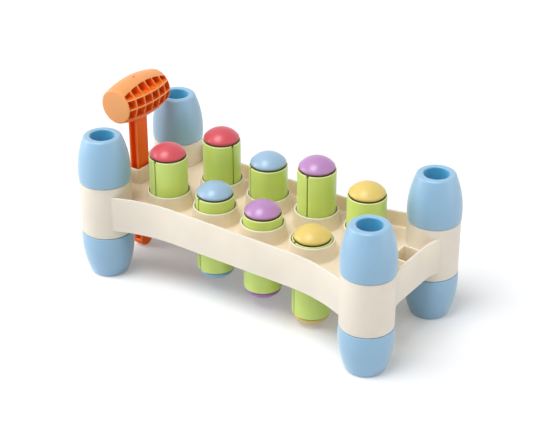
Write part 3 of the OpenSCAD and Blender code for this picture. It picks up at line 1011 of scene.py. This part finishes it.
def noise(tree, place, scale, detail):
    """Socket of a noise pattern that stays with the piece."""
    node = tree.nodes.new("ShaderNodeTexNoise")
    node.inputs["Scale"].default_value = scale
    node.inputs["Detail"].default_value = detail
    tree.links.new(place.outputs["Object"], node.inputs["Vector"])
    return node.outputs["Fac"]


def plastic(name, colour, roughness, grain, glow=0.06, reach=3 * MM, sheen=0.1, gloss=0.9):
    """Moulded plastic: a faint cloud in the colour, a fine moulded grain, and light that spreads inside."""
    material = bpy.data.materials.new(name)
    material.use_nodes = True
    tree = material.node_tree
    shader = tree.nodes["Principled BSDF"]
    place = tree.nodes.new("ShaderNodeTexCoord")
    cloud = noise(tree, place, CLOUD_SCALE, CLOUD_DETAIL)
    tint = tree.nodes.new("ShaderNodeValToRGB")
    for stop, position, shade in zip(tint.color_ramp.elements, CLOUD_SPAN, CLOUD_SHADES):
        stop.position = position
        stop.color = (*[min(1, c * shade) for c in colour], 1)
    tree.links.new(cloud, tint.inputs["Fac"])
    tree.links.new(tint.outputs["Color"], shader.inputs["Base Color"])
    speck = noise(tree, place, GRAIN_SCALE, GRAIN_DETAIL)
    rough = tree.nodes.new("ShaderNodeMapRange")
    rough.inputs["To Min"].default_value = roughness + ROUGHNESS_SPREAD[0]
    rough.inputs["To Max"].default_value = roughness + ROUGHNESS_SPREAD[1]
    tree.links.new(speck, rough.inputs["Value"])
    tree.links.new(rough.outputs["Result"], shader.inputs["Roughness"])
    bump = tree.nodes.new("ShaderNodeBump")
    bump.inputs["Strength"].default_value = grain
    bump.inputs["Distance"].default_value = GRAIN_DEPTH
    tree.links.new(speck, bump.inputs["Height"])
    tree.links.new(bump.outputs["Normal"], shader.inputs["Normal"])
    shader.inputs["Subsurface Weight"].default_value = glow
    shader.inputs["Subsurface Radius"].default_value = [0.3 + 0.7 * c / max(colour) for c in colour]
    shader.inputs["Subsurface Scale"].default_value = reach
    shader.inputs["Specular IOR Level"].default_value = gloss
    shader.inputs["IOR"].default_value = IOR
    shader.inputs["Sheen Weight"].default_value = sheen
    shader.inputs["Sheen Roughness"].default_value = SHEEN_ROUGHNESS
    return material


def vector_step(tree, operation, first, second=None):
    """Adds a vector node that works on one socket and on a constant or another socket."""
    node = tree.nodes.new("ShaderNodeVectorMath")
    node.operation = operation
    tree.links.new(first, node.inputs[0])
    if isinstance(second, bpy.types.NodeSocket):
        tree.links.new(second, node.inputs[1])
    elif second is not None:
        node.inputs[1].default_value = second
    return node


def recolour(material, colour, value, low, high):
    """Changes a plastic's colour smoothly to another one as a value in its nodes goes from low to high."""
    tree = material.node_tree
    shader = tree.nodes["Principled BSDF"]
    plain = shader.inputs["Base Color"].links[0].from_socket
    share = tree.nodes.new("ShaderNodeMapRange")
    share.interpolation_type = "SMOOTHSTEP"
    share.inputs["From Min"].default_value = low
    share.inputs["From Max"].default_value = high
    tree.links.new(value, share.inputs["Value"])
    mix = tree.nodes.new("ShaderNodeMix")
    mix.data_type = "RGBA"
    tree.links.new(share.outputs["Result"], mix.inputs["Factor"])
    tree.links.new(plain, mix.inputs[6])
    mix.inputs[7].default_value = (*colour, 1)
    tree.links.new(mix.outputs[2], shader.inputs["Base Color"])


def painted_barrel_light_and_shade(material, skin, under):
    """Painted light on the barrel's top and ends, paler than the orange in its pockets, and painted shade
    along its underside.

    The value for the top is how far out a point is, with the barrel's taper added back.
    """
    tree = material.node_tree
    place = tree.nodes.new("ShaderNodeTexCoord")
    offset = vector_step(tree, "SUBTRACT", place.outputs["Object"], (HAMMER.x, 0, middle("hammer_head").z))
    across = vector_step(tree, "MULTIPLY", offset.outputs["Vector"], (1, 0, 1))
    radius = vector_step(tree, "LENGTH", across.outputs["Vector"])
    lengthwise = vector_step(tree, "MULTIPLY", offset.outputs["Vector"], (0, 1, 0))
    square = vector_step(tree, "DOT_PRODUCT", lengthwise.outputs["Vector"], lengthwise.outputs["Vector"])
    taper = tree.nodes.new("ShaderNodeMath")
    taper.operation = "MULTIPLY_ADD"
    taper.inputs[1].default_value = (HEAD_R - HEAD_END_R) / (HEAD_LEN / 2) ** 2
    tree.links.new(square.outputs["Value"], taper.inputs[0])
    tree.links.new(radius.outputs["Value"], taper.inputs[2])
    # Painted light on the barrel's outer skin
    recolour(material, skin, taper.outputs[0], HEAD_R - PAINTED_LIGHT_FADE, HEAD_R)
    drop = vector_step(tree, "DOT_PRODUCT", offset.outputs["Vector"], (0, 0, -1))
    # Painted shade along the underside
    recolour(material, under, drop.outputs["Value"], PAINTED_SHADE_DROP, PAINTED_SHADE_DROP + PAINTED_SHADE_FADE)
    depth = vector_step(tree, "LENGTH", lengthwise.outputs["Vector"])
    end = HEAD_LEN / 2
    # Painted light on the ends
    recolour(material, skin, depth.outputs["Value"], end - HEAD_END_WALL, end - HEAD_END_WALL / 2)


def painted_edge_highlight(material, colour):
    """Painted highlight on the head's sharp edges, the thin ribs' most of all: the value is how sharply the
    head's fine mesh bends.
    """
    shape = material.node_tree.nodes.new("ShaderNodeNewGeometry")
    recolour(material, colour, shape.outputs["Pointiness"], *EDGE_HIGHLIGHT_POINTINESS)


def painted_hole_shade(material, colour):
    """Painted shade in the cups' holes, deeper in colour than their outsides: the value is how far a leg's
    axis is.
    """
    tree = material.node_tree
    place = tree.nodes.new("ShaderNodeTexCoord")
    folded = vector_step(tree, "ABSOLUTE", place.outputs["Object"])
    at = LEGS["back", "right"]
    offset = vector_step(tree, "SUBTRACT", folded.outputs["Vector"], (at.x, at.y, 0))
    across = vector_step(tree, "MULTIPLY", offset.outputs["Vector"], (1, 1, 0))
    radius = vector_step(tree, "LENGTH", across.outputs["Vector"])
    recolour(material, colour, radius.outputs["Value"], CUP_HOLE_R + HOLE_MOUTH_R, CUP_HOLE_R)


def make_materials():
    """Every plastic by its name in the table, some of them with painted light and shade from place to place.
    """
    made = {}
    for name, (colour, roughness, grain, rest) in PLASTICS.items():
        made[name] = plastic(name + "_plastic", colour, roughness, grain, **rest)
    # Painted highlight on the head's edges, painted light and shade on its barrel, painted shade in the cups'
    # holes
    painted_edge_highlight(made["orange"], RIB_EDGE_HIGHLIGHT_COLOUR)
    painted_barrel_light_and_shade(made["orange"], BARREL_PAINTED_LIGHT_COLOUR, BARREL_PAINTED_SHADE_COLOUR)
    painted_hole_shade(made["sky"], CUP_HOLE_SHADE_COLOUR)
    return made


make_camera()
make_world()
make_floor()
make_key()
make_panel("left_panel", **LEFT_PANEL)
make_panel("right_panel", **RIGHT_PANEL)
materials = make_materials()
make_bench_frame([materials[name] for name in FRAME_MATERIALS])
make_cups(materials["sky"])
# The sleeves' rims take a painted highlight, and the domes' necks a dark painted shade
make_pegs(materials, materials["lime"], materials["lime_rim_painted_highlight"], materials["neck"])
make_hammer_head(materials["orange"])
# The handle in painted shade, with a painted highlight on its bevelled edges
make_hammer_handle(materials["orange_painted_shade"], materials["orange_edge_painted_highlight"])
